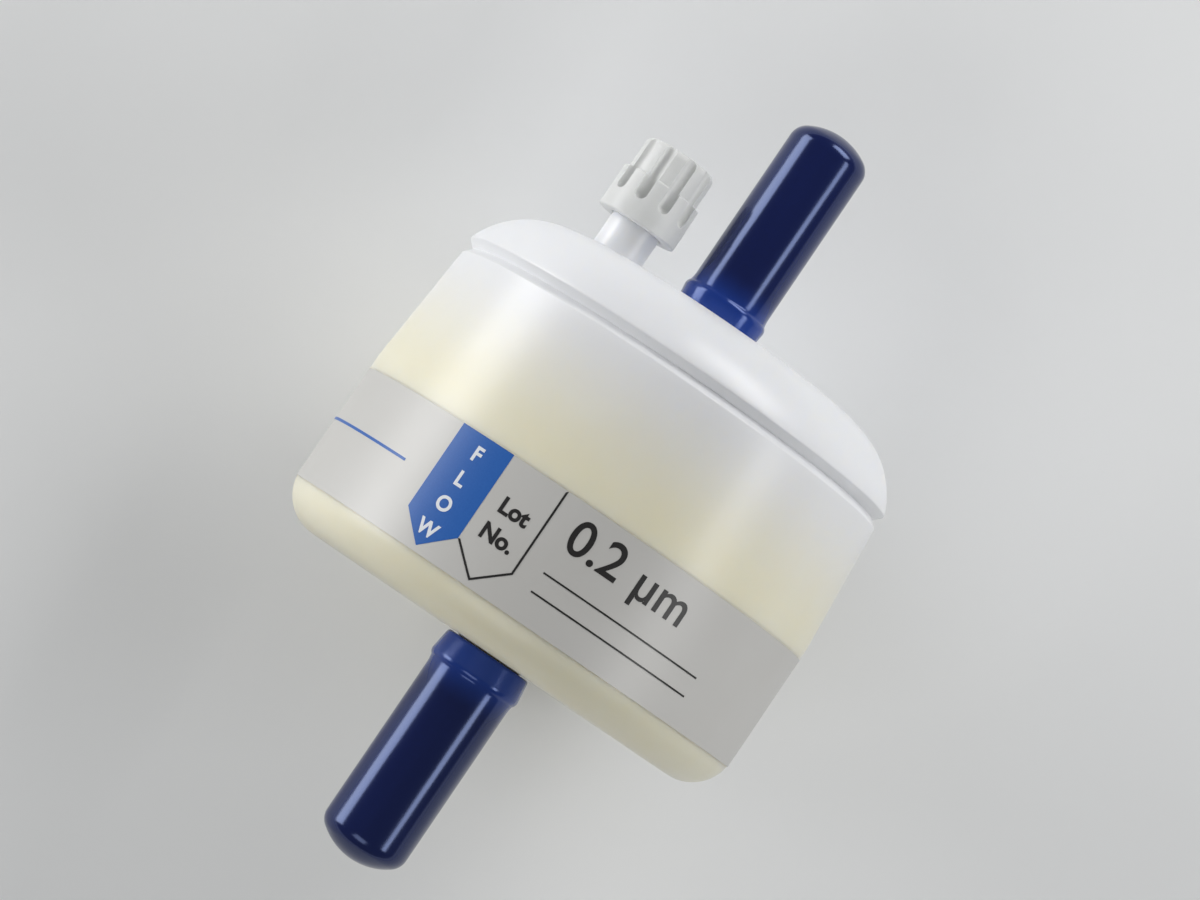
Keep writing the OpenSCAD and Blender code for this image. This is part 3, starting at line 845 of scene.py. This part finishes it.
black_ink = printing_ink("black printing ink", "1d1c1c", "2c2a29")
field_across = arrow_across - arrow_width
lot_field = arrow_shape("lot_field", field_across)
bpy.ops.object.mode_set(mode="EDIT")
bpy.ops.mesh.select_all(action="SELECT")
bpy.ops.mesh.inset(thickness=outline_weight, use_boundary=True)
bpy.ops.mesh.delete(type="FACE")
bpy.ops.object.mode_set(mode="OBJECT")
for strip in lot_field.data.polygons:
    at_top = strip.center.x > label_high.x - outline_weight
    strip.select = at_top or strip.center.y > field_across + arrow_width / 2 - outline_weight
bpy.ops.object.mode_set(mode="EDIT")
bpy.ops.mesh.delete(type="FACE")
bpy.ops.object.mode_set(mode="OBJECT")
wrap_print(lot_field, 1)
wear(lot_field, black_ink)
lot_words = print_text(
    "lot_words", "Lot\nNo.", height=3.2 * mm, drop=8.3 * mm, across=field_across,
    layer=1, weight=0.11 * mm, line_gap=1.26,
)
wear(lot_words, black_ink)

# The pore rating stands large right of that field, over two write-in lines for a date and initials.
rating_across = 0.3 * mm
rating = print_text(
    "pore_rating", "0.2 µm", height=7.0 * mm, drop=4.5 * mm, across=rating_across,
    layer=1, weight=0.06 * mm, align="LEFT",
)
wear(rating, black_ink)


def print_rule(name, start, length, drop, weight, ink):
    """A straight printed line round the label, from a place across it towards the right."""
    bpy.ops.object.select_all(action="DESELECT")
    bpy.ops.mesh.primitive_plane_add(size=1, location=(label_high.x - drop, start - length / 2, 0))
    rule = bpy.context.object
    rule.name = rule.data.name = name
    rule.scale = (weight, length, 1)
    bpy.ops.object.transform_apply(location=True, rotation=True, scale=True)
    wrap_print(rule, 1)
    wear(rule, ink)


for count, rule_drop in enumerate((10.6 * mm, 13.5 * mm)):
    print_rule(
        f"write_in_line_{count + 1}", start=rating_across, length=27 * mm, drop=rule_drop,
        weight=0.25 * mm, ink=black_ink,
    )

# On the arrow's other side one blue line runs round to the back.
print_rule("blue_line", start=60 * mm, length=34 * mm, drop=8.3 * mm, weight=0.4 * mm, ink=blue_ink)


# The stage: a plain pale floor that the capsule lies on, and soft studio light.
# One soft box stands low on the vent's side, weaker ones at both ends and one higher up opposite.
# Away from the capsule, where little light falls, the floor is shown at one pale tone.
floor_size = 8.0
floor_drop = 0.1 * mm
mottle_size = 60 * mm
far_from = 0.25
far_to = 0.7

bpy.ops.object.select_all(action="DESELECT")
bpy.ops.mesh.primitive_plane_add(size=floor_size, location=(0, 0, -floor_drop))
floor = bpy.context.object
floor.name = floor.data.name = "floor"
pale_floor = new_material("pale studio floor")
place = add_node(pale_floor, "ShaderNodeTexCoord", {}).outputs["Object"]
mottle = add_node(pale_floor, "ShaderNodeTexNoise", {
    "Vector": place, "Scale": 1 / mottle_size,
}).outputs["Fac"]
floor_colour = add_node(pale_floor, "ShaderNodeMix", {
    "data_type": "RGBA", "Factor": mottle, 6: linear("f3f4f4"), 7: linear("eeefef"),
}).outputs[2]
surface = add_node(pale_floor, "ShaderNodeBsdfPrincipled", {"Base Color": floor_colour, "Roughness": 0.7})
far_tone = add_node(pale_floor, "ShaderNodeEmission", {"Color": linear("e6e7e7"), "Strength": 1.0})
away = add_node(pale_floor, "ShaderNodeVectorMath", {"operation": "LENGTH", 0: place}).outputs["Value"]
far = add_node(pale_floor, "ShaderNodeMapRange", {
    "interpolation_type": "SMOOTHSTEP", "Value": away, "From Min": far_from, "From Max": far_to,
}).outputs["Result"]
ray = add_node(pale_floor, "ShaderNodeLightPath", {}).outputs
seen = ray["Is Camera Ray"]
for other_ray in ("Is Glossy Ray", "Is Transmission Ray"):
    seen = add_node(pale_floor, "ShaderNodeMath", {
        "operation": "MAXIMUM", 0: seen, 1: ray[other_ray],
    }).outputs["Value"]
far_seen = add_node(pale_floor, "ShaderNodeMath", {
    "operation": "MULTIPLY", 0: far, 1: seen,
}).outputs["Value"]
floor_shown = add_node(pale_floor, "ShaderNodeMixShader", {
    0: far_seen, 1: surface.outputs["BSDF"], 2: far_tone.outputs["Emission"],
})
add_node(pale_floor, "ShaderNodeOutputMaterial", {"Surface": floor_shown.outputs["Shader"]})
wear(floor, pale_floor)

# In the picture the capsule's axis leans right by this much, seen from its label's front.
picture_lean = radians(34.2)
eye_height = 605 * mm
eye_towards_outlet = 32.9 * mm
focal_length = 131.3
aim = Vector((5.5 * mm, 3.2 * mm, axis_z))
eye = aim + Vector((-eye_towards_outlet, 0, eye_height))
forward = (aim - eye).normalized()
axis_seen = (Vector((1, 0, 0)) - forward.x * forward).normalized()
level_seen = forward.cross(axis_seen)
picture_right = sin(picture_lean) * axis_seen + cos(picture_lean) * level_seen
picture_up = picture_right.cross(forward)

camera = bpy.data.objects.new("camera", bpy.data.cameras.new("camera"))
bpy.context.collection.objects.link(camera)
camera.data.sensor_width = 36
camera.data.lens = focal_length
turn = Matrix((picture_right, picture_up, -forward)).transposed()
camera.matrix_world = Matrix.Translation(eye) @ turn.to_4x4()
bpy.context.scene.camera = camera

grid_spread = radians(120)


def soft_light(name, place, width, height, power):
    """A soft box with a grid, so that little of it spills on the floor, at a place facing the capsule."""
    lamp = bpy.data.lights.new(name, "AREA")
    lamp.shape = "RECTANGLE"
    lamp.size = width
    lamp.size_y = height
    lamp.energy = power
    lamp.spread = grid_spread
    light = bpy.data.objects.new(name, lamp)
    bpy.context.collection.objects.link(light)
    light.location = Vector(place)
    light.rotation_euler = (aim - light.location).to_track_quat("-Z", "Y").to_euler()


soft_light("vent_side_box", (0.05, 0.75, 0.17), width=0.80, height=0.36, power=2.18)
soft_light("inlet_side_box", (0.66, -0.24, 0.34), width=0.55, height=0.30, power=1.33)
soft_light("outlet_side_box", (-0.45, 0.10, 0.60), width=0.40, height=0.30, power=0.34)
soft_light("fill_strip", (0.05, -0.72, 0.52), width=0.70, height=0.18, power=0.85)

world = bpy.data.worlds.new("studio")
world.use_nodes = True
surround = world.node_tree.nodes["Background"]
surround.inputs["Color"].default_value = linear("e6e8ea")
surround.inputs["Strength"].default_value = 0.2
bpy.context.scene.world = world
bpy.context.scene.view_settings.view_transform = "Standard"
